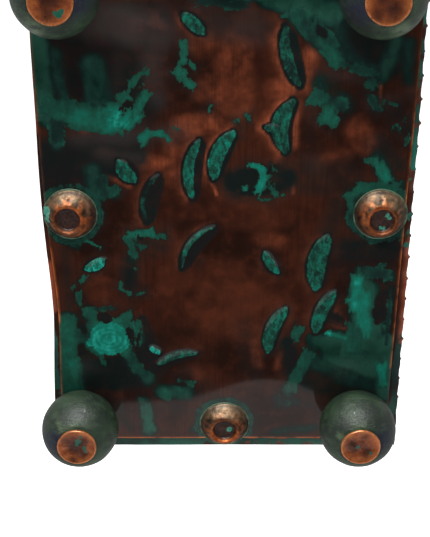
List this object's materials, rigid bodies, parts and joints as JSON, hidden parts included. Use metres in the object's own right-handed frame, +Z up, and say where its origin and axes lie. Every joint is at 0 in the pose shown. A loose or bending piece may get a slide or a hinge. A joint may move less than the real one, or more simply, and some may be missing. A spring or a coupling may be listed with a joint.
{
  "type": "wall mounted mailbox",
  "caption": "Tall wall mounted letter box in patinated sheet copper: hammered front plate held by ball knobs and dimpled domes, sloping hinged lid.",
  "frame": {"origin": "middle of the four wall holes, on the back plate's wall face", "axes": "+Y into the wall, so the front plate faces -Y; +Z up; +X to the right seen from the front"},
  "size_m": [0.262, 0.1573, 0.4126],
  "materials": {
    "sheet_copper": "dark brown copper sheet with green patina under satin lacquer",
    "hammered_plate": "hammered copper, dark heat patina with teal verdigris under gloss lacquer",
    "patina_ball": "dark green patina, satin, rubbed bright round the front",
    "bright_copper": "polished copper with brown and green spots",
    "rivet_copper": "aged copper, semi-gloss",
    "hinge_copper": "aged copper, satin",
    "brass_hardware": "plain brass, lightly tarnished"
  },
  "bodies": {
    "box": {"back_plate": "sheet_copper", "left_side": "sheet_copper", "right_side": "sheet_copper", "floor_panel": "sheet_copper", "front_wall": "sheet_copper", "seam_rivets": "rivet_copper", "back_rivets": "rivet_copper", "front_plate": "hammered_plate", "knob_bottom_left": "patina_ball", "knob_bottom_right": "patina_ball", "knob_top_left": "patina_ball", "knob_top_right": "patina_ball", "cap_bottom_left": "bright_copper", "cap_bottom_right": "bright_copper", "cap_top_left": "bright_copper", "cap_top_right": "bright_copper", "knob_studs": "brass_hardware", "knob_washers": "brass_hardware", "knob_nuts": "brass_hardware", "dome_left": "bright_copper", "dome_right": "bright_copper", "dome_bottom": "bright_copper", "dome_top": "bright_copper", "dome_burrs": "rivet_copper", "hinge_leaf_box": "hinge_copper", "hinge_pin": "brass_hardware", "hinge_rivets_box": "rivet_copper"},
    "lid": {"lid_panel": "sheet_copper", "hinge_leaf_lid": "hinge_copper", "hinge_rivets_lid": "rivet_copper"}
  },
  "joints": [
    {"name": "lid_hinge", "type": "hinge", "parent": "box", "child": "lid", "pos_m": [0, -0.0044, 0.21944], "axis": [-1, 0, 0], "range_deg": [0, 105]}
  ]
}
